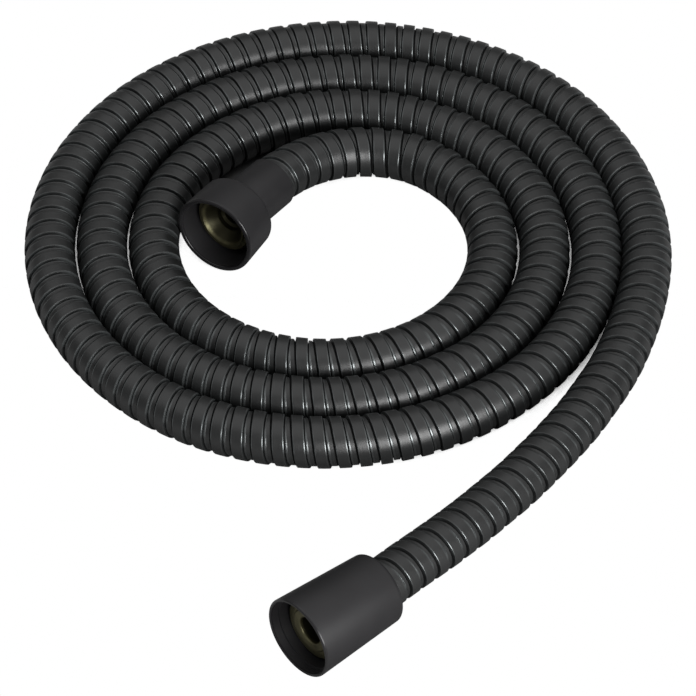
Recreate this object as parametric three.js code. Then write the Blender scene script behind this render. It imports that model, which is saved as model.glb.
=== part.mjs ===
// A flexible metal shower hose with a swivel nut on each end, laid on a floor in an open flat spiral.
// Millimetres, +Z up, the floor at z = 0. The bore of the straight nut opens towards -Y.
import * as THREE from "three";

const SIDES = 48; // round pieces
const HOSE_SIDES = 12; // tubes along the route

// The hose: a spiral-wound steel sheath round a loose inner hose.
const HOSE_RADIUS = 7;
const SHEATH_WALL = 1.1;
const SHEATH_BORE = HOSE_RADIUS - SHEATH_WALL;
const INNER_HOSE_RADIUS = SHEATH_BORE - 0.5;
const INNER_HOSE_WALL = 1;
const INNER_HOSE_BORE = INNER_HOSE_RADIUS - INNER_HOSE_WALL;

// The gap that two touching pieces keep.
const FIT = 0.3;

// The nipple and its ferrule, alike at both ends. Lengths run from the nipple's face towards the hose.
const FLANGE_RADIUS = 8.7;
const FLANGE_THICKNESS = 2.2;
const FACE_STEP = 0.5; // the rim of the face stands back from its middle
const FACE_STEP_RADIUS = 6.9;
const WATERWAY_MOUTH = 3.75;
const WATERWAY_MOUTH_DEPTH = 3;
const WATERWAY_RADIUS = 3;
const NECK_RADIUS = 5;
const BARB_RADIUS = INNER_HOSE_BORE - FIT;
const BARB_ROOT = BARB_RADIUS - 0.4;
const BARB_PITCH = 3;
const BARBS = 4;
const FERRULE_RADIUS = HOSE_RADIUS + 0.5;
const FERRULE_START = 3;
const FERRULE_END = 22.8;
const FERRULE_WALL_END = FERRULE_START + 2;
const SHEATH_GRIP = 7; // the length of sheath inside the ferrule
const FERRULE_CUP = FERRULE_END - SHEATH_GRIP;
const INNER_HOSE_START = FERRULE_WALL_END + 1;
const SHEATH_START = FERRULE_CUP + FIT;

// The nuts. Both take a G1/2 male thread, 20.955 mm across.
const THREAD_RADIUS = 20.955 / 2;
const NUT_BORE = THREAD_RADIUS - 0.03;
const MOUTH_CHAMFER = 0.3;
const EDGE_ROUNDING = 0.4;
const BACK_ROUNDING = 1.4;

const CONE_MOUTH_RADIUS = 11.8;
const CONE_BACK_RADIUS = 11.2;
const CONE_LENGTH = 12.8;
const CONE_BACK_WALL = 3;
const CONE_HOLE = FERRULE_RADIUS + 0.7; // the loose nut leans on its ferrule

const STRAIGHT_MOUTH_RADIUS = 11.3;
const STRAIGHT_BACK_RADIUS = 10;
const STRAIGHT_LENGTH = 28;
const STRAIGHT_BORE_STEP = 2.6;
const STRAIGHT_INNER_BORE = NUT_BORE - 0.6;
const STRAIGHT_SHOULDER = 13;
const STRAIGHT_SLEEVE = FERRULE_RADIUS + 0.5;
const STRAIGHT_FACE_DEPTH = 4.2; // the nut is pushed back, so the nipple's face lies near its mouth

// Where things lie, measured from the spiral's centre. A heading turns left from +Y and dips.
const SPIRAL_CENTRE = new THREE.Vector3(-14.107, 6.9, 0);
const CONE_MOUTH_AT = new THREE.Vector3(-20.42, -26.7, 13.02);
const CONE_NUT_HEADING = heading(17, 4);
const CONE_NIPPLE_HEADING = heading(11, 3);
const CONE_NIPPLE_REACH = 6.1; // from the middle of the nut's back wall to the nipple's face
const CONE_NIPPLE_ASIDE = new THREE.Vector3(-0.17, -0.05, 0); // off the middle of the nut's hole
const STRAIGHT_DIP = THREE.MathUtils.radToDeg(
  Math.atan((STRAIGHT_MOUTH_RADIUS - STRAIGHT_BACK_RADIUS) / STRAIGHT_LENGTH),
);
const STRAIGHT_MOUTH_AT = new THREE.Vector3(102.76, -104.67, STRAIGHT_MOUTH_RADIUS + 0.008);
const STRAIGHT_HEADING = heading(0, STRAIGHT_DIP);

// The spiral: clockwise seen from above, slightly oval, its turns a little over one hose apart.
const SPIRAL_START = 252; // degrees clockwise from +X, where the spiral takes over from the run in
const SPIRAL_STEP = 20;
const SPIRAL_STEPS = 55;
const SPIRAL_RADIUS = 30.14; // at no degrees
const SPIRAL_PITCH = 14.344;
const SPIRAL_OVAL = 0.67;
const SPIRAL_OVAL_AT = 115; // the oval's long axis, degrees clockwise from +X
const SPIRAL_DENT = 0.6; // the second turn leans in beside the fittings
const SPIRAL_DENT_AT = 535;
const SPIRAL_DENT_SPAN = 45;

// The run in: down from the cone nut's ferrule to the floor and round into the spiral.
const RUN_IN = [
  [-27.85, 5.5, 10.8],
  [-28.12, 10.05, 10.15],
  [-27.93, 14.98, 9.35],
  [-27, 20.15, 8.5],
  [-25.25, 25.3, 7.8],
  [-22.45, 30, 7.3],
  [-18.6, 34.1, 7.05],
];

// The tail: out of the spiral, along the floor and up into the straight nut.
const TAIL = [
  [31.8, 78.7, 7],
  [57.2, 63.6, 7],
  [76.3, 40.6, 7],
  [82.8, 29.2, 7],
  [86.4, 21.4, 7],
  [89.3, 13.4, 7],
  [91.9, 5.6, 7],
  [93.9, -2, 7],
  [95.6, -9.6, 7],
  [97, -17.1, 7],
  [98.3, -24.7, 7.1],
  [99.2, -32.2, 7.3],
  [100.1, -39.6, 7.6],
  [100.8, -47, 8],
  [101.4, -54.4, 8.5],
  [101.8, -61.8, 9],
  [102.2, -69, 9.5],
];

const BLACK = { color: 0x38383a, roughness: 0.5, metalness: 0.35 };
const BRASS = { color: 0x8a7f4a, roughness: 0.45, metalness: 0.8 };
const SHEATH = { color: 0x3a3c3c, roughness: 0.45, metalness: 0.4 };
const RUBBER = { color: 0x202022, roughness: 0.8, metalness: 0 };

function heading(left, dip) {
  const turn = THREE.MathUtils.degToRad(left);
  const down = THREE.MathUtils.degToRad(dip);
  return new THREE.Vector3(
    -Math.sin(turn) * Math.cos(down),
    Math.cos(turn) * Math.cos(down),
    -Math.sin(down),
  );
}

// A named mesh with its own material.
function piece(name, geometry, look) {
  const mesh = new THREE.Mesh(geometry, new THREE.MeshStandardMaterial(look));
  mesh.name = name;
  return mesh;
}

// A round piece about the local Y axis. The profile holds [radius, y] pairs and closes on itself.
function turned(profile) {
  const points = [...profile, profile[0]].map(([radius, y]) => new THREE.Vector2(radius, y));
  return new THREE.LatheGeometry(points, SIDES);
}

// Points of a quarter round from one angle to another, in degrees.
function quarter(centreRadius, centreY, size, from, to) {
  return [0, 1, 2, 3].map((i) => {
    const angle = THREE.MathUtils.degToRad(from + ((to - from) * i) / 3);
    return [centreRadius + size * Math.cos(angle), centreY + size * Math.sin(angle)];
  });
}

// A group that stands at a point with its local Y along a direction.
function along(at, direction) {
  const group = new THREE.Group();
  group.position.copy(at);
  group.quaternion.setFromUnitVectors(new THREE.Vector3(0, 1, 0), direction);
  return group;
}

function onLine(at, direction, distance) {
  return at.clone().addScaledVector(direction, distance);
}

function coneNut() {
  return turned([
    [NUT_BORE + MOUTH_CHAMFER, 0],
    ...quarter(CONE_MOUTH_RADIUS - EDGE_ROUNDING, EDGE_ROUNDING, EDGE_ROUNDING, -90, 0),
    ...quarter(CONE_BACK_RADIUS - BACK_ROUNDING, CONE_LENGTH - BACK_ROUNDING, BACK_ROUNDING, 0, 90),
    [CONE_HOLE, CONE_LENGTH],
    [CONE_HOLE, CONE_LENGTH - CONE_BACK_WALL],
    [NUT_BORE, CONE_LENGTH - CONE_BACK_WALL],
    [NUT_BORE, MOUTH_CHAMFER],
  ]);
}

function straightNut() {
  return turned([
    [NUT_BORE + MOUTH_CHAMFER, 0],
    ...quarter(STRAIGHT_MOUTH_RADIUS - EDGE_ROUNDING, EDGE_ROUNDING, EDGE_ROUNDING, -90, 0),
    ...quarter(
      STRAIGHT_BACK_RADIUS - BACK_ROUNDING,
      STRAIGHT_LENGTH - BACK_ROUNDING,
      BACK_ROUNDING,
      0,
      90,
    ),
    [STRAIGHT_SLEEVE, STRAIGHT_LENGTH],
    [STRAIGHT_SLEEVE, STRAIGHT_SHOULDER],
    [STRAIGHT_INNER_BORE, STRAIGHT_SHOULDER],
    [STRAIGHT_INNER_BORE, STRAIGHT_BORE_STEP],
    [NUT_BORE, STRAIGHT_BORE_STEP],
    [NUT_BORE, MOUTH_CHAMFER],
  ]);
}

// The nipple: a stepped flange, a neck through the ferrule's wall and a barbed stem inside the inner hose.
function nipple() {
  const stemStart = FERRULE_WALL_END + FIT;
  const barbs = [];
  for (let i = 0; i < BARBS; i += 1) {
    const at = INNER_HOSE_START + 1 + i * BARB_PITCH;
    barbs.push([BARB_ROOT, at], [BARB_RADIUS, at + 0.3], [BARB_ROOT, at + BARB_PITCH - 0.4]);
  }
  const stemEnd = INNER_HOSE_START + 1 + BARBS * BARB_PITCH;
  return turned([
    [WATERWAY_MOUTH + 0.4, 0],
    [FACE_STEP_RADIUS - 0.3, 0],
    [FACE_STEP_RADIUS, FACE_STEP],
    [FLANGE_RADIUS - 0.4, FACE_STEP],
    [FLANGE_RADIUS, FACE_STEP + 0.4],
    [FLANGE_RADIUS, FLANGE_THICKNESS],
    [NECK_RADIUS, FLANGE_THICKNESS],
    [NECK_RADIUS, stemStart],
    [BARB_ROOT, stemStart],
    ...barbs,
    [BARB_ROOT, stemEnd],
    [WATERWAY_RADIUS, stemEnd],
    [WATERWAY_RADIUS, WATERWAY_MOUTH_DEPTH + 0.75],
    [WATERWAY_MOUTH, WATERWAY_MOUTH_DEPTH],
    [WATERWAY_MOUTH, 0.4],
  ]);
}

// The ferrule: a sleeve that holds the inner hose on the barbs and the sheath's end in its cup.
function ferrule() {
  const innerWall = INNER_HOSE_RADIUS + FIT;
  const cup = HOSE_RADIUS + FIT * 0.7;
  return turned([
    [NECK_RADIUS + FIT, FERRULE_START],
    [FERRULE_RADIUS - 0.5, FERRULE_START],
    [FERRULE_RADIUS, FERRULE_START + 0.5],
    [FERRULE_RADIUS, FERRULE_END],
    [cup, FERRULE_END],
    [cup, FERRULE_CUP],
    [innerWall, FERRULE_CUP],
    [innerWall, FERRULE_WALL_END],
    [NECK_RADIUS + FIT, FERRULE_WALL_END],
  ]);
}

function fitting(end, faceAt, direction) {
  const group = along(faceAt, direction);
  group.add(piece(`${end}_nipple`, nipple(), BRASS));
  group.add(piece(`${end}_ferrule`, ferrule(), BLACK));
  return group;
}

function spiralPoint(degrees) {
  const angle = THREE.MathUtils.degToRad(degrees);
  const oval = Math.cos(2 * (angle - THREE.MathUtils.degToRad(SPIRAL_OVAL_AT)));
  const near = Math.max(0, 1 - Math.abs(degrees - SPIRAL_DENT_AT) / SPIRAL_DENT_SPAN);
  const dent = SPIRAL_DENT * near * near * (3 - 2 * near);
  const radius = SPIRAL_RADIUS + (SPIRAL_PITCH * degrees) / 360 + SPIRAL_OVAL * oval - dent;
  return new THREE.Vector3(radius * Math.cos(angle), -radius * Math.sin(angle), HOSE_RADIUS);
}

const coneFaceAt = onLine(
  onLine(CONE_MOUTH_AT, CONE_NUT_HEADING, CONE_LENGTH - CONE_BACK_WALL / 2),
  CONE_NIPPLE_HEADING,
  -CONE_NIPPLE_REACH,
).add(CONE_NIPPLE_ASIDE);
const straightFaceAt = onLine(STRAIGHT_MOUTH_AT, STRAIGHT_HEADING, STRAIGHT_FACE_DEPTH);

// The route's stations for a tube that starts a given distance behind each nipple's face.
function stations(start) {
  const spiral = [];
  for (let i = 0; i <= SPIRAL_STEPS; i += 1) {
    spiral.push(spiralPoint(SPIRAL_START + i * SPIRAL_STEP));
  }
  const clear = FERRULE_END + 1;
  return [
    onLine(coneFaceAt, CONE_NIPPLE_HEADING, start),
    onLine(coneFaceAt, CONE_NIPPLE_HEADING, clear),
    ...RUN_IN.map((p) => new THREE.Vector3(...p)),
    ...spiral,
    ...TAIL.map((p) => new THREE.Vector3(...p)),
    onLine(straightFaceAt, STRAIGHT_HEADING, clear),
    onLine(straightFaceAt, STRAIGHT_HEADING, start),
  ];
}

// A path from station to station. Neighbouring turns share their station angles, so they stay apart.
class Route extends THREE.Curve {
  constructor(points) {
    super();
    this.points = points;
    this.last = points.length - 1;
  }

  getPoint(t, target = new THREE.Vector3()) {
    const place = t * this.last;
    const i = Math.min(Math.floor(place), this.last - 1);
    return target.lerpVectors(this.points[i], this.points[i + 1], place - i);
  }

  getPointAt(u, target) {
    return this.getPoint(u, target);
  }

  getTangentAt(u, target = new THREE.Vector3()) {
    const i = Math.round(u * this.last);
    const before = this.points[Math.max(i - 1, 0)];
    const here = this.points[i];
    const after = this.points[Math.min(i + 1, this.last)];
    const coming = here.clone().sub(before).normalize();
    const going = after.clone().sub(here).normalize();
    return target.copy(coming).add(going).normalize();
  }
}

function circle(path, radius) {
  for (let i = 0; i < HOSE_SIDES; i += 1) {
    const angle = (i * 2 * Math.PI) / HOSE_SIDES;
    const at = [radius * Math.cos(angle), radius * Math.sin(angle)];
    if (i === 0) path.moveTo(...at);
    else path.lineTo(...at);
  }
  path.closePath();
  return path;
}

function tube(outer, bore, start) {
  const section = circle(new THREE.Shape(), outer);
  section.holes.push(circle(new THREE.Path(), bore));
  const route = new Route(stations(start));
  return new THREE.ExtrudeGeometry(section, { steps: route.last, extrudePath: route });
}

const laid = new THREE.Group();
laid.position.copy(SPIRAL_CENTRE);
laid.add(piece("hose_sheath", tube(HOSE_RADIUS, SHEATH_BORE, SHEATH_START), SHEATH));
laid.add(piece("inner_hose", tube(INNER_HOSE_RADIUS, INNER_HOSE_BORE, INNER_HOSE_START), RUBBER));
laid.add(fitting("cone", coneFaceAt, CONE_NIPPLE_HEADING));
laid.add(fitting("straight", straightFaceAt, STRAIGHT_HEADING));
laid.add(along(CONE_MOUTH_AT, CONE_NUT_HEADING).add(piece("cone_nut", coneNut(), BLACK)));
laid.add(along(STRAIGHT_MOUTH_AT, STRAIGHT_HEADING).add(piece("straight_nut", straightNut(), BLACK)));

const hose = new THREE.Group();
hose.add(laid);

export default hose;
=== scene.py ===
import math

import bpy
import numpy as np
from bpy.props import FloatProperty, FloatVectorProperty, IntProperty, PointerProperty
from mathutils import Matrix, Vector


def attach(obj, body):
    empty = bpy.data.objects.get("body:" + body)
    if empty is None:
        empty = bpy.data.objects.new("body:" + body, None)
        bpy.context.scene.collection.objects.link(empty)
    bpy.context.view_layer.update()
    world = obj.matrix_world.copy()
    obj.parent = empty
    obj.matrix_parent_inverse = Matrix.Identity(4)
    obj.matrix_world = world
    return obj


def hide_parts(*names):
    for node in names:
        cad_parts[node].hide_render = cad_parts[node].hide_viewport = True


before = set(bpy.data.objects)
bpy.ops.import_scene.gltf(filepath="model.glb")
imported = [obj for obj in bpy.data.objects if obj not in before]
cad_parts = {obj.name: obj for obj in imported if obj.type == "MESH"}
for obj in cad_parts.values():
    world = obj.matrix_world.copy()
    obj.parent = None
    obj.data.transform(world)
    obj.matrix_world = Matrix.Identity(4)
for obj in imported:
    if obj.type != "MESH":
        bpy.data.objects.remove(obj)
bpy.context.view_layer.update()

bl_info = {
    "name": "Shower Hose",
    "version": (1, 0, 0),
    "blender": (4, 5, 0),
    "location": "View3D > Sidebar > Hose",
    "description": "Builds a black spiral-wound shower hose with its fittings, and a small studio",
    "category": "Object",
}

MM = 0.001

# Sizes and places in millimetres, the places the part's own. A heading turns left from +Y and dips.
SPIRAL_CENTRE = np.array([-14.107, 6.9, 0.0])
HOSE_RADIUS = 7.0
LINER_RADIUS = 5.3
LINER_BORE = 4.4
FIT = 0.3

FERRULE_RADIUS = HOSE_RADIUS + 0.5
FERRULE_GRIP_BORE = HOSE_RADIUS + 0.2
FERRULE_BORE = 5.7
FERRULE_HOLE = 5.3
FERRULE_ROUNDING = 0.5
FERRULE_RIM_ROUNDING = 0.2
FERRULE_START = 3.0
FERRULE_WALL_END = FERRULE_START + 2.0
FERRULE_END = 22.8
SHEATH_GRIP = 7.0
FERRULE_CUP = FERRULE_END - SHEATH_GRIP
SHEATH_START = FERRULE_CUP + FIT
INNER_HOSE_START = FERRULE_WALL_END + 1.0

FLANGE_RADIUS = 8.7
FLANGE_THICKNESS = 2.2
NECK_RADIUS = 5.0
BARB_RADIUS = LINER_BORE - FIT
BARB_ROOT = BARB_RADIUS - 0.4
BARB_PITCH = 3.0
BARBS = 4
STEM_END = 19.0
WATERWAY_RADIUS = 3.0
WATERWAY_MOUTH = 3.75

NUT_BORE = 10.44
CONE_MOUTH_AT = SPIRAL_CENTRE + [-20.42, -26.7, 13.02]
CONE_MOUTH_RADIUS = 11.8
CONE_BACK_RADIUS = 11.2
CONE_LENGTH = 12.8
CONE_BACK_WALL = 3.0
CONE_HOLE = FERRULE_RADIUS + 0.7
CONE_RIM_ROUNDING = 0.5
CONE_BACK_ROUNDING = 1.4
CONE_MOUTH_ROUNDING = 0.35
CONE_NIPPLE_REACH = 6.1
CONE_NIPPLE_ASIDE = [-0.17, -0.05, 0.0]  # off the middle of the nut's hole

STRAIGHT_MOUTH_RADIUS = 11.3
STRAIGHT_BACK_RADIUS = 10.0
STRAIGHT_LENGTH = 28.0
STRAIGHT_FACE_DEPTH = 4.2
STRAIGHT_BORE_STEP = 2.6
STRAIGHT_INNER_BORE = 9.85
STRAIGHT_SHOULDER = 13.0
STRAIGHT_SLEEVE = FERRULE_RADIUS + 0.5
STRAIGHT_RIM_ROUNDING = 0.55
STRAIGHT_BACK_ROUNDING = 1.3
STRAIGHT_MOUTH_CHAMFER = 0.25
STRAIGHT_DIP = math.degrees(
    math.atan((STRAIGHT_MOUTH_RADIUS - STRAIGHT_BACK_RADIUS) / STRAIGHT_LENGTH)
)
STRAIGHT_MOUTH_AT = SPIRAL_CENTRE + [102.76, -104.67, STRAIGHT_MOUTH_RADIUS + 0.008]

SPIRAL_START = 252.0
SPIRAL_STEP = 20.0
SPIRAL_STEPS = 55
SPIRAL_RADIUS = 30.14
SPIRAL_PITCH = 14.344
SPIRAL_OVAL = 0.67
SPIRAL_OVAL_AT = 115.0
SPIRAL_DENT = 0.6
SPIRAL_DENT_AT = 535.0
SPIRAL_DENT_SPAN = 45.0

# The route from the cone nut's ferrule round into the spiral, measured from the spiral's centre.
RUN_IN = [
    (-27.85, 5.5, 10.8),
    (-28.12, 10.05, 10.15),
    (-27.93, 14.98, 9.35),
    (-27.0, 20.15, 8.5),
    (-25.25, 25.3, 7.8),
    (-22.45, 30.0, 7.3),
    (-18.6, 34.1, 7.05),
]

# The route out of the spiral and up into the straight nut.
TAIL = [
    (31.8, 78.7, 7.0),
    (57.2, 63.6, 7.0),
    (76.3, 40.6, 7.0),
    (82.8, 29.2, 7.0),
    (86.4, 21.4, 7.0),
    (89.3, 13.4, 7.0),
    (91.9, 5.6, 7.0),
    (93.9, -2.0, 7.0),
    (95.6, -9.6, 7.0),
    (97.0, -17.1, 7.0),
    (98.3, -24.7, 7.1),
    (99.2, -32.2, 7.3),
    (100.1, -39.6, 7.6),
    (100.8, -47.0, 8.0),
    (101.4, -54.4, 8.5),
    (101.8, -61.8, 9.0),
    (102.2, -69.0, 9.5),
]

HELIX_PHASE = 0.5  # turns
LINER_SPACING = 3.0
GROOVE_WIDTH = 0.4  # between the crest and the low band of the strip
GROOVE_LEAN = 0.04  # of the crest's far wall
THIN_GROOVE_WIDTH = 0.16  # between the low band and the next crest
CREST_BEVEL_WIDTH = 0.09
CREST_BEVEL_DROP = 0.12
CREST_CROWN = 0.01
BAND_BEVEL = 0.1
BAND_LIP = 0.14  # from the thin groove to the low band's full height
CREST_ROUNDING = 0.34  # of the crest's edges, which the paint's bumps show
STRIP_CLEARANCE = 0.12  # what the strip leaves of the pitch on the inside of a tight bend
STRIP_WANDER_ALONG = 0.05
STRIP_WANDER_OUT = 0.02
STRIP_SEED = 7
SMOOTH_BELOW = math.radians(35)  # edges with less than this angle are shaded smooth
TURNED_SMOOTH_BELOW = math.radians(32)

# The camera's aim, in millimetres, and the floor, in metres.
AIM_AT = SPIRAL_CENTRE + [26.67, -19.41, 0.0]
FLOOR_SIZE = 6.0
FLOOR_DROP = 0.0001
FERRULE_PAINTED_SHADOW = (-0.061, 0.017, 0.0)  # the middle of a shadow painted on the floor between the tapered nut's ferrule and the hose


# Sizes and colours that a user would change


class HoseSizes(bpy.types.PropertyGroup):
    """Sizes of the sheath and of the strip that it is wound from."""

    diameter: FloatProperty(
        name="Diameter",
        description="Across the crests of the strip",
        default=2 * HOSE_RADIUS * MM,
        min=0.01,
        max=0.02,
        unit="LENGTH",
        precision=4,
    )
    pitch: FloatProperty(
        name="Pitch",
        description="From one crest to the next on a straight stretch",
        default=0.00525,
        min=0.004,
        max=0.008,
        unit="LENGTH",
        precision=5,
    )
    crest: FloatProperty(
        name="Crest width",
        description="Width of the strip's raised part",
        default=0.00325,
        min=0.002,
        max=0.005,
        unit="LENGTH",
        precision=5,
    )
    step: FloatProperty(
        name="Step",
        description="Height of the crest over the strip's low part",
        default=0.00062,
        min=0.0002,
        max=0.0012,
        unit="LENGTH",
        precision=5,
    )
    groove: FloatProperty(
        name="Groove",
        description="Depth of the strip's two grooves below the crest",
        default=0.0013,
        min=0.0005,
        max=0.002,
        unit="LENGTH",
        precision=5,
    )
    sides: IntProperty(
        name="Sides",
        description="Points round the hose",
        default=28,
        min=16,
        max=30,
    )


class FinishColours(bpy.types.PropertyGroup):
    """Colours of the hose's finishes."""

    sheath: FloatVectorProperty(
        name="Sheath",
        description="Black paint on the strip",
        subtype="COLOR",
        default=(0.0105, 0.0113, 0.0114),
        min=0.0,
        max=1.0,
    )
    nut: FloatVectorProperty(
        name="Nuts",
        description="Black paint on the nuts and ferrules",
        subtype="COLOR",
        default=(0.0165, 0.0159, 0.0172),
        min=0.0,
        max=1.0,
    )
    brass: FloatVectorProperty(
        name="Brass",
        description="Bare turned brass",
        subtype="COLOR",
        default=(0.17, 0.158, 0.088),
        min=0.0,
        max=1.0,
    )
    rubber: FloatVectorProperty(
        name="Rubber",
        description="The hose inside the sheath",
        subtype="COLOR",
        default=(0.02, 0.02, 0.021),
        min=0.0,
        max=1.0,
    )


class StudioSettings(bpy.types.PropertyGroup):
    """The view and the light."""

    elevation: FloatProperty(
        name="Elevation",
        description="The camera's height above the floor, as an angle",
        subtype="ANGLE",
        default=math.radians(46.07),
    )
    azimuth: FloatProperty(
        name="Azimuth",
        description="The camera's heading from +X",
        subtype="ANGLE",
        default=math.radians(-41.76),
    )
    distance: FloatProperty(
        name="Distance",
        description="From the camera to the point that it looks at",
        unit="LENGTH",
        default=1.3133,
    )
    lens: FloatProperty(
        name="Lens",
        description="Focal length on a sensor 36 mm wide",
        unit="CAMERA",
        default=249.46,
    )
    key: FloatProperty(
        name="Key light",
        description="Power of the small softbox to the right of the camera",
        unit="POWER",
        default=12.4,
    )
    overhead: FloatProperty(
        name="Overhead light",
        description="Power of the large soft lamp overhead",
        unit="POWER",
        default=9.2,
    )
    fill: FloatProperty(
        name="Fill",
        description="Strength of the light from all round",
        default=0.18,
    )


# Shader trees


class Signal:
    """A socket's value in a shader tree, which Python's operators turn into Math nodes."""

    def __init__(self, shader, socket):
        self.shader = shader
        self.socket = socket

    def math(self, operation, *others):
        node = self.shader.add("ShaderNodeMath", {"operation": operation}, (self, *others))
        return Signal(self.shader, node.outputs[0])

    def reflected(self, operation, first):
        node = self.shader.add("ShaderNodeMath", {"operation": operation}, (first, self))
        return Signal(self.shader, node.outputs[0])

    def __add__(self, other):
        return self.math("ADD", other)

    def __radd__(self, other):
        return self.reflected("ADD", other)

    def __sub__(self, other):
        return self.math("SUBTRACT", other)

    def __rsub__(self, other):
        return self.reflected("SUBTRACT", other)

    def __mul__(self, other):
        return self.math("MULTIPLY", other)

    def __rmul__(self, other):
        return self.reflected("MULTIPLY", other)

    def clamped(self):
        return self.math("MINIMUM", 1.0).math("MAXIMUM", 0.0)


class Shader:
    """A new material and the few ways of adding nodes to it."""

    def __init__(self, name):
        self.material = bpy.data.materials.new(name)
        self.material.use_nodes = True
        self.tree = self.material.node_tree
        self.tree.nodes.clear()
        self.output = self.add("ShaderNodeOutputMaterial")

    def add(self, kind, settings=None, inputs=()):
        node = self.tree.nodes.new(kind)
        for key, value in (settings or {}).items():
            setattr(node, key, value)
        pairs = inputs.items() if isinstance(inputs, dict) else enumerate(inputs)
        for key, value in pairs:
            self.feed(node.inputs[key], value)
        return node

    def feed(self, socket, value):
        if isinstance(value, Signal):
            self.tree.links.new(value.socket, socket)
        elif isinstance(value, bpy.types.NodeSocket):
            self.tree.links.new(value, socket)
        elif isinstance(value, tuple) and len(value) == 3 and socket.type == "RGBA":
            socket.default_value = (*value, 1.0)
        else:
            socket.default_value = value

    def place(self):
        return self.add("ShaderNodeTexCoord").outputs["Object"]

    def stretched(self, vector, scale):
        inputs = {"Vector": vector, "Scale": scale}
        return self.add("ShaderNodeMapping", {}, inputs).outputs["Vector"]

    def attribute(self, name):
        node = self.add("ShaderNodeAttribute", {"attribute_name": name})
        return Signal(self, node.outputs["Fac"])

    def noise(self, vector, scale, detail=3.0, roughness=0.5):
        inputs = {"Vector": vector, "Scale": scale, "Detail": detail, "Roughness": roughness}
        return Signal(self, self.add("ShaderNodeTexNoise", {}, inputs).outputs[0])

    def band(self, value, low, high):
        """Rises from 0 to 1 as value goes from low to high."""
        settings = {"interpolation_type": "SMOOTHSTEP"}
        inputs = {"Value": value, "From Min": low, "From Max": high}
        return Signal(self, self.add("ShaderNodeMapRange", settings, inputs).outputs["Result"])

    def ridge(self, across, middle, half):
        """A rounded ridge: 1 along its middle, falling to 0 half its width away."""
        offset = (across - middle) * (1.0 / half)
        return (1.0 - offset * offset).math("MAXIMUM", 0.0)

    def rounding(self, across, start, end):
        """A rounded edge: level up to start, then falling ever more steeply to -1 at the end."""
        offset = ((across - start) * (1.0 / (end - start))).clamped()
        return offset * offset * -1.0

    def mix(self, factor, first, second):
        """Mixes two colours. The node's colour sockets go by number, because others share their names."""
        node = self.add("ShaderNodeMix", {"data_type": "RGBA"})
        self.feed(node.inputs[0], factor)
        self.feed(node.inputs[6], first)
        self.feed(node.inputs[7], second)
        return node.outputs[2]

    def bump(self, height, distance, strength=1.0):
        inputs = {"Height": height, "Distance": distance, "Strength": strength}
        return self.add("ShaderNodeBump", {}, inputs).outputs["Normal"]

    def surface(self, **sockets):
        inputs = {name.replace("_", " "): value for name, value in sockets.items()}
        node = self.add("ShaderNodeBsdfPrincipled", {}, inputs)
        self.feed(self.output.inputs["Surface"], node.outputs[0])
        return self.material


def shade(colour, share):
    return tuple(share * c for c in colour)


def sheath_paint(colour, crest, pitch):
    """Satin black paint on the rolled strip: drawn lines along it, edge wear with a painted glint, painted
    shade in grooves.
    """
    s = Shader("sheath_paint")
    turn = s.attribute("turn")
    across = s.attribute("across")
    drawn = s.add("ShaderNodeCombineXYZ", {}, (turn * 10.0, across * 1.8)).outputs[0]
    lines = s.noise(drawn, 1.0, 4.0, 0.6)
    patch = s.noise(s.place(), 60.0, 2.0)
    grain = s.noise(s.place(), 2200.0, 2.0)
    depth = s.band(s.attribute("depth"), 0.45, 1.0)
    # The crest's edges are rounded, and the low band ends in a rolled lip. All three show wear, lightened
    # most where the key light glints on them: a painted glint.
    lip = s.ridge(across, pitch - 0.44, 0.3)
    rounded = s.rounding(across, CREST_ROUNDING, 0.0) + s.rounding(across, crest - CREST_ROUNDING, crest)
    ridges = lip * 1.8 + rounded * 2.4
    lips = lip + s.ridge(across, 0.16, 0.22) + s.ridge(across, crest - 0.14, 0.2)
    # Painted glint: the edges' wear is strongest where the surface faces up at about 40 degrees, where the
    # key light glints.
    glint_band = s.ridge(s.attribute("rise"), 0.62, 0.36)
    wear_and_glint = (0.1 + glint_band) * s.band(patch, 0.1, 0.5) * (1.0 - depth)
    edge = lips.clamped() * wear_and_glint
    base = s.mix(s.band(patch, 0.3, 0.7) * 0.5, shade(colour, 0.85), shade(colour, 1.2))
    # The edges are lightened and made metallic: partly wear, partly painted glint.
    wear_and_glint_colour = s.mix(edge, base, shade(colour, 15.0))
    # Painted shade: the bottoms of the grooves are darkened.
    dark = s.mix(depth, wear_and_glint_colour, shade(colour, 0.12))
    return s.surface(
        Base_Color=dark,
        Metallic=edge * 0.85,
        Specular_IOR_Level=0.75,
        Roughness=0.3 + lines * 0.16 + grain * 0.06 + depth * 0.4 - edge * 0.14,
        Normal=s.bump(ridges + lines * 0.6 + grain * 0.2, 0.00005),
    )


def nut_paint(colour):
    """Satin black paint with a fine grain, as on the nuts and the ferrules, glossier at a mouth's rim."""
    s = Shader("nut_paint")
    rim = 1.0 - s.band(s.attribute("along"), 0.5, 0.9)
    grain = s.noise(s.place(), 2200.0, 3.0)
    cloud = s.noise(s.place(), 90.0, 2.0)
    base = s.mix(s.band(cloud, 0.3, 0.7), shade(colour, 0.9), shade(colour, 1.12))
    return s.surface(
        Base_Color=base,
        Specular_IOR_Level=0.42,
        Roughness=0.4 + grain * 0.1 + cloud * 0.08 - rim * 0.26,
        Normal=s.bump(grain, 0.00003, 0.5),
    )


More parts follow.
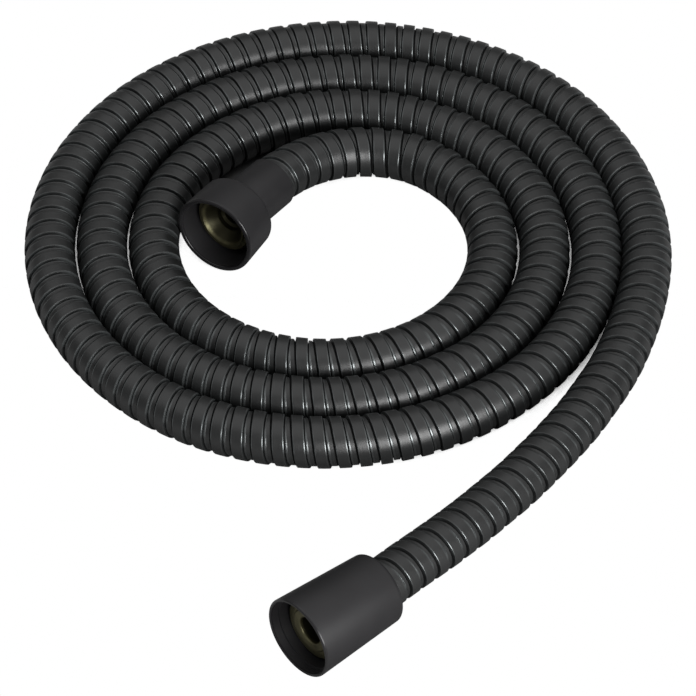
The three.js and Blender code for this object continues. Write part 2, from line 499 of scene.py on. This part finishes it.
def turned_brass(colour):
    """Dull brass with the fine rings that a lathe leaves, and painted shade deeper into the nipple."""
    s = Shader("turned_brass")
    radial = s.add("ShaderNodeCombineXYZ", {}, (s.attribute("across") * 14.0,)).outputs[0]
    rings = s.noise(radial, 3.0)
    stain = s.noise(s.place(), 240.0, 3.0)
    face = s.mix(s.band(stain, 0.35, 0.7), colour, shade(colour, 0.55))
    # Painted shade: the brass darkens deeper into the nipple, in its bowl and its waterway.
    base = s.mix(s.band(s.attribute("along"), 0.55, 1.25), face, shade(colour, 0.22))
    return s.surface(
        Base_Color=base,
        Metallic=0.85,
        Roughness=0.26 + rings * 0.14 + stain * 0.12,
        Normal=s.bump(rings, 0.00004, 0.7),
    )


def liner_rubber(colour):
    """Matt black rubber."""
    s = Shader("liner_rubber")
    grain = s.noise(s.place(), 900.0, 3.0)
    return s.surface(
        Base_Color=s.mix(grain, shade(colour, 0.8), shade(colour, 1.2)),
        Roughness=0.6 + grain * 0.2,
        Normal=s.bump(grain, 0.00005, 0.4),
    )


def studio_floor():
    """White card that the camera sees as plain white, and as dark only in the nooks under the hose, from
    real shadow and from painted shade.
    """
    s = Shader("studio_floor")
    mottle = s.noise(s.place(), 3.0)
    nook = s.add("ShaderNodeAmbientOcclusion", {"samples": 16}, {"Distance": 0.03})
    sky = Signal(s, nook.outputs["AO"])
    paper = s.mix(mottle, (0.24, 0.24, 0.24), (0.26, 0.26, 0.26))
    # Painted shade: the card's colour is darkened where the floor sees little of the sky, near and under
    # the hose.
    painted_shade_colour = s.mix(s.band(sky, 0.08, 0.42), (0.04, 0.04, 0.04), paper)
    card = s.add("ShaderNodeBsdfDiffuse", {}, {"Color": painted_shade_colour}).outputs[0]
    white = s.add("ShaderNodeEmission", {}, {"Color": (1.0, 1.0, 1.0), "Strength": 1.0})
    path = s.add("ShaderNodeLightPath").outputs
    camera, glossy, through = [
        Signal(s, path[f"Is {kind} Ray"]) for kind in ("Camera", "Glossy", "Transmission")
    ]
    # Next to the ferrule a shadow is painted: there the camera sees the card, with its painted shade,
    # wherever the floor sees much less than the whole sky.
    offset = s.add("ShaderNodeVectorMath", {"operation": "SUBTRACT"}, (s.place(), FERRULE_PAINTED_SHADOW)).outputs[0]
    oval = s.stretched(offset, (1.0, 0.6, 1.0))
    span = s.add("ShaderNodeVectorMath", {"operation": "LENGTH"}, (oval,)).outputs["Value"]
    painted_ferrule_shadow = 1.0 - s.band(Signal(s, span), 0.01, 0.017)
    wide = s.band(sky, 0.7, 1.0)
    clear = s.band(sky, 0.02, 0.1) * (1.0 - painted_ferrule_shadow) + wide * painted_ferrule_shadow
    # Glossy rays see the white only where the floor sees most of the sky, so reflections of the floor near
    # the hose show the painted shade.
    seen = camera * clear + (glossy + through).clamped() * wide * 0.3
    mixed = s.add("ShaderNodeMixShader", {}, (seen, card, white.outputs[0]))
    s.feed(s.output.inputs["Surface"], mixed.outputs[0])
    return s.material


# Meshes


def heading(left, dip):
    turn = math.radians(left)
    down = math.radians(dip)
    return np.array(
        [-math.sin(turn) * math.cos(down), math.cos(turn) * math.cos(down), -math.sin(down)]
    )


CONE_NUT_AXIS = heading(17, 4)
CONE_NIPPLE_AXIS = heading(11, 3)
STRAIGHT_AXIS = heading(0, STRAIGHT_DIP)
CONE_FACE_AT = (
    CONE_MOUTH_AT
    + CONE_NUT_AXIS * (CONE_LENGTH - CONE_BACK_WALL / 2)
    - CONE_NIPPLE_AXIS * CONE_NIPPLE_REACH
    + CONE_NIPPLE_ASIDE
)
STRAIGHT_FACE_AT = STRAIGHT_MOUTH_AT + STRAIGHT_AXIS * STRAIGHT_FACE_DEPTH


def spiral_point(degrees):
    angle = math.radians(degrees)
    oval = math.cos(2 * (angle - math.radians(SPIRAL_OVAL_AT)))
    near = max(0.0, 1 - abs(degrees - SPIRAL_DENT_AT) / SPIRAL_DENT_SPAN)
    dent = SPIRAL_DENT * near * near * (3 - 2 * near)
    radius = SPIRAL_RADIUS + SPIRAL_PITCH * degrees / 360 + SPIRAL_OVAL * oval - dent
    return SPIRAL_CENTRE + [radius * math.cos(angle), -radius * math.sin(angle), HOSE_RADIUS]


def stations(start):
    """The part's own route, from a distance behind one nipple's face to the same behind the other's."""
    clear = FERRULE_END + 1
    points = [CONE_FACE_AT + CONE_NIPPLE_AXIS * start, CONE_FACE_AT + CONE_NIPPLE_AXIS * clear]
    points += [SPIRAL_CENTRE + p for p in RUN_IN]
    points += [spiral_point(SPIRAL_START + i * SPIRAL_STEP) for i in range(SPIRAL_STEPS + 1)]
    points += [SPIRAL_CENTRE + p for p in TAIL]
    points += [STRAIGHT_FACE_AT + STRAIGHT_AXIS * clear, STRAIGHT_FACE_AT + STRAIGHT_AXIS * start]
    return np.array(points)


class Route:
    """A smooth curve through points, read at distances along it."""

    BEND_WINDOW = 9  # points that a bend is averaged over

    def __init__(self, points, step=0.25):
        knots = np.concatenate([[0], np.cumsum(np.linalg.norm(np.diff(points, axis=0), axis=1))])
        bends = self.second_derivatives(knots, points)
        dense = self.through(knots, points, bends, np.arange(0, knots[-1], step / 4))
        travelled = np.concatenate([[0], np.cumsum(np.linalg.norm(np.diff(dense, axis=0), axis=1))])
        self.length = travelled[-1]
        self.at = np.linspace(0, self.length, int(self.length / step) + 1)
        self.points = np.stack([np.interp(self.at, travelled, dense[:, i]) for i in range(3)], 1)
        self.tangents = self.unit(np.gradient(self.points, self.at, axis=0))
        up = np.array([0.0, 0.0, 1.0])
        self.sides = self.unit(np.cross(self.tangents, up))
        self.ups = np.cross(self.sides, self.tangents)
        bend = np.gradient(self.tangents, self.at, axis=0)
        kernel = np.ones(self.BEND_WINDOW) / self.BEND_WINDOW
        margin = self.BEND_WINDOW // 2
        padded = np.pad(bend, ((margin, margin), (0, 0)), mode="edge")
        self.bend = np.stack([np.convolve(padded[:, i], kernel, "valid") for i in range(3)], 1)

    @staticmethod
    def unit(vectors):
        return vectors / np.linalg.norm(vectors, axis=1, keepdims=True)

    @staticmethod
    def second_derivatives(knots, points):
        """Of the natural cubic spline through the points."""
        gaps = np.diff(knots)
        count = len(knots)
        matrix = np.eye(count)
        right = np.zeros_like(points)
        slopes = np.diff(points, axis=0) / gaps[:, None]
        for i in range(1, count - 1):
            matrix[i, i - 1 : i + 2] = gaps[i - 1], 2 * (gaps[i - 1] + gaps[i]), gaps[i]
            right[i] = 6 * (slopes[i] - slopes[i - 1])
        return np.linalg.solve(matrix, right)

    @staticmethod
    def through(knots, points, bends, at):
        i = np.clip(np.searchsorted(knots, at, "right") - 1, 0, len(knots) - 2)
        gap = (knots[i + 1] - knots[i])[:, None]
        b = ((at - knots[i]) / gap[:, 0])[:, None]
        a = 1 - b
        straight = a * points[i] + b * points[i + 1]
        curved = (a**3 - a) * bends[i] + (b**3 - b) * bends[i + 1]
        return straight + curved * gap**2 / 6

    def read(self, rows, distance):
        flat = np.clip(distance, 0, self.length).ravel()
        columns = [np.interp(flat, self.at, rows[:, i]) for i in range(3)]
        return np.stack(columns, 1).reshape(*distance.shape, 3)


def mesh_object(name, vertices, faces, attributes=None):
    mesh = bpy.data.meshes.new(name)
    mesh.from_pydata((np.asarray(vertices) * MM).tolist(), [], np.asarray(faces).tolist())
    for key, values in (attributes or {}).items():
        mesh.attributes.new(key, "FLOAT", "POINT").data.foreach_set("value", np.ravel(values))
    mesh.update()
    made = bpy.data.objects.new(name, mesh)
    bpy.context.collection.objects.link(made)
    return made


def quads(lower, upper):
    """Quads between two stacks of rows, along the sides that follow each other within a turn."""
    return np.stack(
        [lower[..., :-1], lower[..., 1:], upper[..., 1:], upper[..., :-1]], -1
    ).reshape(-1, 4)


def strip_outline(radius, crest, low, floor):
    """Two lists of distances along the hose and radii: the crest with its wide groove, and the lip.

    The first list's distances start at the crest's near edge, and the second's at the next crest's.
    """
    leading = [
        (0.0, floor),
        (0.0, radius - CREST_BEVEL_DROP),
        (CREST_BEVEL_WIDTH, radius - CREST_CROWN),
        (0.5 * crest, radius),
        (crest - CREST_BEVEL_WIDTH, radius - CREST_CROWN),
        (crest, radius - CREST_BEVEL_DROP),
        (crest + GROOVE_LEAN, floor),
        (crest + GROOVE_WIDTH, low - BAND_BEVEL),
        (crest + GROOVE_WIDTH + BAND_BEVEL, low),
    ]
    trailing = [
        (-THIN_GROOVE_WIDTH - BAND_LIP, low),
        (-THIN_GROOVE_WIDTH - BAND_LIP + BAND_BEVEL, low - BAND_BEVEL),
        (-THIN_GROOVE_WIDTH, floor),
    ]
    return leading, trailing


def strip_sheath(sizes, route):
    """The sheath as one helical strip: a raised crest, a groove, a low band and a thin groove."""
    radius = sizes.diameter / 2 / MM
    pitch = sizes.pitch / MM
    crest = sizes.crest / MM
    low = radius - sizes.step / MM
    floor = radius - sizes.groove / MM
    leading, trailing = strip_outline(radius, crest, low, floor)
    rigid = leading[-1][0] - trailing[0][0]
    sides = sizes.sides
    turns = int(route.length / pitch) - 1
    rng = np.random.default_rng(STRIP_SEED)
    around = np.arange(sides) / sides
    turn = np.arange(turns)[:, None] + around[None, :]
    angle = 2 * math.pi * (turn + HELIX_PHASE)
    wander = np.interp(turn.ravel(), np.arange(turns + 2), rng.normal(0, 1, turns + 2))
    wander = wander.reshape(turn.shape)
    middle = (turn + 0.5) * pitch + STRIP_WANDER_ALONG * wander
    bend = route.read(route.bend, middle)
    sideways = route.read(route.sides, middle)
    upwards = route.read(route.ups, middle)
    outwards = np.cos(angle)[..., None] * upwards + np.sin(angle)[..., None] * sideways
    stretch = 1 - radius * np.sum(bend * outwards, axis=2)
    share = np.minimum(1 / stretch, (pitch - STRIP_CLEARANCE) / rigid)
    start = middle - 0.5 * crest * share
    next_start = start + pitch
    rows, radii, acrosses = [], [], []
    for distance, height in leading:
        rows.append(start + distance * share)
        radii.append(height)
        acrosses.append(distance)
    for distance, height in trailing:
        rows.append(next_start + distance * share)
        radii.append(height)
        acrosses.append(pitch + distance)
    count = len(rows)
    depths = [(radius - height) / (radius - floor) for height in radii]
    place = np.stack(rows, 1)
    centre = route.read(route.points, place)
    side = route.read(route.sides, place)
    up = route.read(route.ups, place)
    angles = np.repeat(angle[:, None, :], count, axis=1)[..., None]
    out = np.cos(angles) * up + np.sin(angles) * side
    reach = np.array(radii)[None, :, None] + STRIP_WANDER_OUT * wander[:, None, :]
    vertices = (centre + reach[..., None] * out).reshape(-1, 3)
    index = np.arange(turns * count * sides).reshape(turns, count, sides)
    within = quads(index[:, :-1, :], index[:, 1:, :])
    between = quads(index[:-1, -1:, :], index[1:, :1, :])
    # The helix closes on itself: the last side of a turn meets the first side of the next turn.
    seam = np.stack(
        [
            index[:-1, :-1, -1],
            index[1:, :-1, 0],
            index[1:, 1:, 0],
            index[:-1, 1:, -1],
        ],
        -1,
    ).reshape(-1, 4)
    corner = np.stack(
        [index[:-2, -1, -1], index[1:-1, -1, 0], index[2:, 0, 0], index[1:-1, 0, -1]], -1
    )
    faces = np.concatenate([within, between, seam, corner])
    shape = (turns, count, sides)
    attributes = {
        "turn": np.broadcast_to(turn[:, None, :], shape),
        "rise": out[..., 2],
        "across": np.broadcast_to(np.array(acrosses)[None, :, None], shape),
        "depth": np.broadcast_to(np.array(depths)[None, :, None], shape),
    }
    return vertices, faces, attributes


def smooth_tube(radius, bore, route, step, sides=24):
    """An open-ended hollow tube along a route."""
    at = np.linspace(0, route.length, int(route.length / step) + 1)
    centre = route.read(route.points, at)
    side = route.read(route.sides, at)
    up = route.read(route.ups, at)
    angle = 2 * math.pi * np.arange(sides) / sides
    out = np.cos(angle)[None, :, None] * up[:, None] + np.sin(angle)[None, :, None] * side[:, None]
    outer = centre[:, None] + radius * out
    inner = centre[:, None] + bore * out
    loop = np.concatenate([outer, inner[::-1]])
    vertices = loop.reshape(-1, 3)
    count = len(loop)
    here = np.arange(count * sides).reshape(count, sides)
    after = np.roll(here, -1, axis=0)
    faces = np.stack(
        [here, np.roll(here, -1, axis=1), np.roll(after, -1, axis=1), after], -1
    ).reshape(-1, 4)
    return vertices, faces


def deselect():
    if bpy.context.mode != "OBJECT":
        bpy.ops.object.mode_set(mode="OBJECT")
    bpy.ops.object.select_all(action="DESELECT")


def arc(radius, distance, size, start, end, steps=5):
    """Points of a round edge, from one angle to another in degrees."""
    angles = np.radians(np.linspace(start, end, steps))
    return [(radius + size * math.cos(a), distance + size * math.sin(a)) for a in angles]


def turned(name, profile, at, axis, segments=96):
    """Turns a closed outline of radius and distance pairs about an axis, as on a lathe."""
    deselect()
    radius, distance = profile[0]
    bpy.ops.mesh.primitive_circle_add(
        vertices=segments, radius=radius * MM, location=(0, 0, distance * MM)
    )
    made = bpy.context.object
    made.name = name
    bpy.ops.object.transform_apply(location=True, rotation=True, scale=True)
    bpy.ops.object.mode_set(mode="EDIT")
    bpy.ops.mesh.select_all(action="SELECT")
    for next_radius, next_distance in [*profile[1:], profile[0]]:
        bpy.ops.mesh.extrude_edges_move(
            TRANSFORM_OT_translate={"value": (0, 0, (next_distance - distance) * MM)}
        )
        share = next_radius / radius
        bpy.ops.transform.resize(value=(share, share, 1), center_override=(0, 0, 0))
        radius, distance = next_radius, next_distance
    bpy.ops.mesh.select_all(action="SELECT")
    bpy.ops.mesh.remove_doubles(threshold=1e-7)
    bpy.ops.mesh.normals_make_consistent(inside=False)
    bpy.ops.object.mode_set(mode="OBJECT")
    places = {
        "along": [v.co.z / MM for v in made.data.vertices],
        "across": [(math.hypot(v.co.x, v.co.y) + v.co.z) / MM for v in made.data.vertices],
    }
    for key, values in places.items():
        made.data.attributes.new(key, "FLOAT", "POINT").data.foreach_set("value", values)
    turn = Vector((0, 0, 1)).rotation_difference(Vector(axis))
    made.matrix_world = Matrix.Translation(Vector(at) * MM) @ turn.to_matrix().to_4x4()
    bpy.ops.object.transform_apply(location=True, rotation=True, scale=True)
    bpy.ops.object.shade_smooth_by_angle(angle=TURNED_SMOOTH_BELOW)
    return made


def dress(piece, finish, body, node):
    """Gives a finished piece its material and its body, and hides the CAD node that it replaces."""
    piece.data.materials.clear()
    piece.data.materials.append(finish)
    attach(piece, body)
    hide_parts(node)


def material(name, maker, *values):
    """The material of that name, made when it is first asked for."""
    return bpy.data.materials.get(name) or maker(*values)


def nut_black(context):
    return material("nut_paint", nut_paint, tuple(context.scene.finish_colours.nut))


def brass(context):
    return material("turned_brass", turned_brass, tuple(context.scene.finish_colours.brass))


def ferrule_outline():
    """A sleeve with a cup at its far end that grips the sheath."""
    edge = FERRULE_ROUNDING
    rim = FERRULE_RIM_ROUNDING
    return [
        (FERRULE_HOLE, FERRULE_START),
        *arc(FERRULE_RADIUS - edge, FERRULE_START + edge, edge, -90, 0),
        *arc(FERRULE_RADIUS - rim, FERRULE_END - rim, rim, 0, 90, 4),
        (FERRULE_GRIP_BORE, FERRULE_END),
        (FERRULE_GRIP_BORE, FERRULE_CUP),
        (FERRULE_BORE, FERRULE_CUP),
        (FERRULE_BORE, FERRULE_WALL_END),
        (FERRULE_HOLE, FERRULE_WALL_END),
    ]


def stem_outline():
    """The neck, the barbs and the waterway, from the back of the flange round to its bore."""
    neck_end = FERRULE_WALL_END + FIT
    outline = [
        (FLANGE_RADIUS, FLANGE_THICKNESS),
        (NECK_RADIUS, FLANGE_THICKNESS),
        (NECK_RADIUS, neck_end),
        (BARB_ROOT, neck_end),
    ]
    for i in range(BARBS):
        at = INNER_HOSE_START + 1 + BARB_PITCH * i
        outline += [(BARB_ROOT, at), (BARB_RADIUS, at + 0.3), (BARB_ROOT, at + 2.6)]
    outline += [(BARB_ROOT, STEM_END), (WATERWAY_RADIUS, STEM_END)]
    return outline + [(WATERWAY_RADIUS, 5.0), (WATERWAY_MOUTH, 4.4)]


# Operators, one for each piece or group


class STUDIO_OT_build(bpy.types.Operator):
    """Set the camera, the lamps and the white floor"""

    bl_idname = "shower_hose.studio"
    bl_label = "Build the studio"

    def execute(self, context):
        settings = context.scene.studio_settings
        aim = Vector(AIM_AT) * MM
        away = Vector(
            (
                math.cos(settings.azimuth) * math.cos(settings.elevation),
                math.sin(settings.azimuth) * math.cos(settings.elevation),
                math.sin(settings.elevation),
            )
        )
        camera = bpy.data.objects.new("camera", bpy.data.cameras.new("camera"))
        context.collection.objects.link(camera)
        camera.location = aim + settings.distance * away
        camera.rotation_euler = (-away).to_track_quat("-Z", "Y").to_euler()
        camera.data.lens = settings.lens
        camera.data.sensor_width = 36.0
        camera.data.clip_start = 0.05
        camera.data.clip_end = 20.0
        context.scene.camera = camera
        right = Vector((-math.sin(settings.azimuth), math.cos(settings.azimuth), 0.0))
        back = Vector((-math.cos(settings.azimuth), -math.sin(settings.azimuth), 0.0))
        lamps = [
            ("key", 0.55, -0.84, 0.41, settings.key, 0.84, 0.56),
            ("overhead", 0.0, 0.22, 1.2, settings.overhead, 2.8, 1.7),
        ]
        for name, across, behind, height, power, width, depth in lamps:
            lamp = bpy.data.objects.new(name, bpy.data.lights.new(name, "AREA"))
            context.collection.objects.link(lamp)
            lamp.data.shape = "RECTANGLE"
            lamp.data.size = width
            lamp.data.size_y = depth
            lamp.data.energy = power
            lamp.location = aim + right * across + back * behind + Vector((0, 0, height))
            lamp.rotation_euler = (aim - lamp.location).to_track_quat("-Z", "Y").to_euler()
        world = bpy.data.worlds.new("studio")
        context.scene.world = world
        world.use_nodes = True
        backdrop = world.node_tree.nodes["Background"]
        backdrop.inputs["Color"].default_value = (1.0, 1.0, 1.0, 1.0)
        backdrop.inputs["Strength"].default_value = settings.fill
        context.scene.view_settings.view_transform = "Standard"
        deselect()
        bpy.ops.mesh.primitive_plane_add(size=FLOOR_SIZE, location=(0, 0, -FLOOR_DROP))
        floor = context.object
        floor.name = "floor"
        bpy.ops.object.transform_apply(location=True, rotation=True, scale=True)
        floor.data.materials.append(studio_floor())
        return {"FINISHED"}


class SHEATH_OT_build(bpy.types.Operator):
    """Wind the sheath's steel strip along the route"""

    bl_idname = "shower_hose.sheath"
    bl_label = "Wind the sheath"

    def execute(self, context):
        sizes = context.scene.hose_sizes
        route = Route(stations(SHEATH_START))
        vertices, faces, attributes = strip_sheath(sizes, route)
        sheath = mesh_object("sheath", vertices, faces, attributes)
        deselect()
        sheath.select_set(True)
        context.view_layer.objects.active = sheath
        bpy.ops.object.mode_set(mode="EDIT")
        bpy.ops.mesh.select_all(action="SELECT")
        bpy.ops.mesh.fill_holes(sides=0)
        bpy.ops.object.mode_set(mode="OBJECT")
        bpy.ops.object.shade_smooth_by_angle(angle=SMOOTH_BELOW)
        colour = tuple(context.scene.finish_colours.sheath)
        paint = sheath_paint(colour, sizes.crest / MM, sizes.pitch / MM)
        dress(sheath, paint, "hose", "hose_sheath")
        return {"FINISHED"}


class LINER_OT_build(bpy.types.Operator):
    """Lay the rubber hose inside the sheath"""

    bl_idname = "shower_hose.liner"
    bl_label = "Lay the inner hose"

    def execute(self, context):
        route = Route(stations(INNER_HOSE_START))
        vertices, faces = smooth_tube(LINER_RADIUS, LINER_BORE, route, LINER_SPACING)
        liner = mesh_object("liner", vertices, faces)
        deselect()
        liner.select_set(True)
        context.view_layer.objects.active = liner
        bpy.ops.object.shade_smooth_by_angle(angle=SMOOTH_BELOW)
        rubber = liner_rubber(tuple(context.scene.finish_colours.rubber))
        dress(liner, rubber, "hose", "inner_hose")
        return {"FINISHED"}


class CONE_OT_build(bpy.types.Operator):
    """Turn the tapered nut, its brass nipple and its ferrule"""

    bl_idname = "shower_hose.cone_end"
    bl_label = "Turn the cone end"

    def execute(self, context):
        rim = CONE_RIM_ROUNDING
        back = CONE_BACK_ROUNDING
        mouth = CONE_MOUTH_ROUNDING
        nut_outline = [
            (NUT_BORE + mouth, 0.0),
            *arc(CONE_MOUTH_RADIUS - rim, rim, rim, -90, 0),
            *arc(CONE_BACK_RADIUS - back, CONE_LENGTH - back, back, 0, 90, 8),
            (CONE_HOLE, CONE_LENGTH),
            (CONE_HOLE, CONE_LENGTH - CONE_BACK_WALL),
            (NUT_BORE, CONE_LENGTH - CONE_BACK_WALL),
            *arc(NUT_BORE + mouth, mouth, mouth, 180, 270)[:-1],
        ]
        nut = turned("tapered_nut", nut_outline, CONE_MOUTH_AT, CONE_NUT_AXIS)
        dress(nut, nut_black(context), "cone_nut", "cone_nut")
        face = [
            (3.9, 3.1),
            (6.5, 0.9),
            (6.85, 0.1),
            *arc(7.2, 0.15, 0.15, -90, 0, 3),
            (7.35, 0.6),
            (8.4, 0.6),
            (FLANGE_RADIUS, 0.9),
        ]
        nipple = turned("cone_brass", face + stem_outline(), CONE_FACE_AT, CONE_NIPPLE_AXIS)
        dress(nipple, brass(context), "hose", "cone_nipple")
        ferrule = turned("cone_sleeve", ferrule_outline(), CONE_FACE_AT, CONE_NIPPLE_AXIS)
        dress(ferrule, nut_black(context), "hose", "cone_ferrule")
        return {"FINISHED"}


class STRAIGHT_OT_build(bpy.types.Operator):
    """Turn the straight nut, its brass nipple and its ferrule"""

    bl_idname = "shower_hose.straight_end"
    bl_label = "Turn the straight end"

    def execute(self, context):
        rim = STRAIGHT_RIM_ROUNDING
        back = STRAIGHT_BACK_ROUNDING
        nut_outline = [
            (NUT_BORE + STRAIGHT_MOUTH_CHAMFER, 0.0),
            *arc(STRAIGHT_MOUTH_RADIUS - rim, rim, rim, -90, 0, 6),
            *arc(STRAIGHT_BACK_RADIUS - back, STRAIGHT_LENGTH - back, back, 0, 90, 8),
            (STRAIGHT_SLEEVE, STRAIGHT_LENGTH),
            (STRAIGHT_SLEEVE, STRAIGHT_SHOULDER),
            (STRAIGHT_INNER_BORE, STRAIGHT_SHOULDER),
            (STRAIGHT_INNER_BORE, STRAIGHT_BORE_STEP + 0.1),
            (NUT_BORE, STRAIGHT_BORE_STEP),
            (NUT_BORE, STRAIGHT_MOUTH_CHAMFER),
        ]
        nut = turned("sleeve_nut", nut_outline, STRAIGHT_MOUTH_AT, STRAIGHT_AXIS)
        dress(nut, nut_black(context), "straight_nut", "straight_nut")
        face = [
            *arc(4.25, 0.5, 0.5, 180, 270),
            (5.9, 0.0),
            (6.2, 0.25),
            (6.9, 0.3),
            (7.1, 0.6),
            *arc(FLANGE_RADIUS - 0.5, 1.1, 0.5, -90, 0),
        ]
        nipple = turned("straight_brass", face + stem_outline(), STRAIGHT_FACE_AT, STRAIGHT_AXIS)
        dress(nipple, brass(context), "hose", "straight_nipple")
        ferrule = turned("straight_sleeve", ferrule_outline(), STRAIGHT_FACE_AT, STRAIGHT_AXIS)
        dress(ferrule, nut_black(context), "hose", "straight_ferrule")
        return {"FINISHED"}


class HOSE_PT_panel(bpy.types.Panel):
    """Lists the hose's sizes, colours and pieces"""

    bl_idname = "HOSE_PT_panel"
    bl_label = "Shower hose"
    bl_space_type = "VIEW_3D"
    bl_region_type = "UI"
    bl_category = "Hose"

    def draw(self, context):
        for name in ("hose_sizes", "finish_colours", "studio_settings"):
            group = getattr(context.scene, name)
            box = self.layout.box()
            for key in group.bl_rna.properties.keys():
                if key not in ("rna_type", "name"):
                    box.prop(group, key)
        for step in STEPS:
            self.layout.operator(step.bl_idname)


GROUPS = {
    "hose_sizes": HoseSizes,
    "finish_colours": FinishColours,
    "studio_settings": StudioSettings,
}
STEPS = [STUDIO_OT_build, SHEATH_OT_build, LINER_OT_build, CONE_OT_build, STRAIGHT_OT_build]


def register():
    for name, group in GROUPS.items():
        bpy.utils.register_class(group)
        setattr(bpy.types.Scene, name, PointerProperty(type=group))
    for step in STEPS:
        bpy.utils.register_class(step)
    bpy.utils.register_class(HOSE_PT_panel)


def unregister():
    bpy.utils.unregister_class(HOSE_PT_panel)
    for step in reversed(STEPS):
        bpy.utils.unregister_class(step)
    for name, group in reversed(GROUPS.items()):
        delattr(bpy.types.Scene, name)
        bpy.utils.unregister_class(group)


def main():
    register()
    bpy.ops.shower_hose.studio()
    bpy.ops.shower_hose.cone_end()
    bpy.ops.shower_hose.straight_end()
    bpy.ops.shower_hose.liner()
    bpy.ops.shower_hose.sheath()


if __name__ == "__main__":
    main()
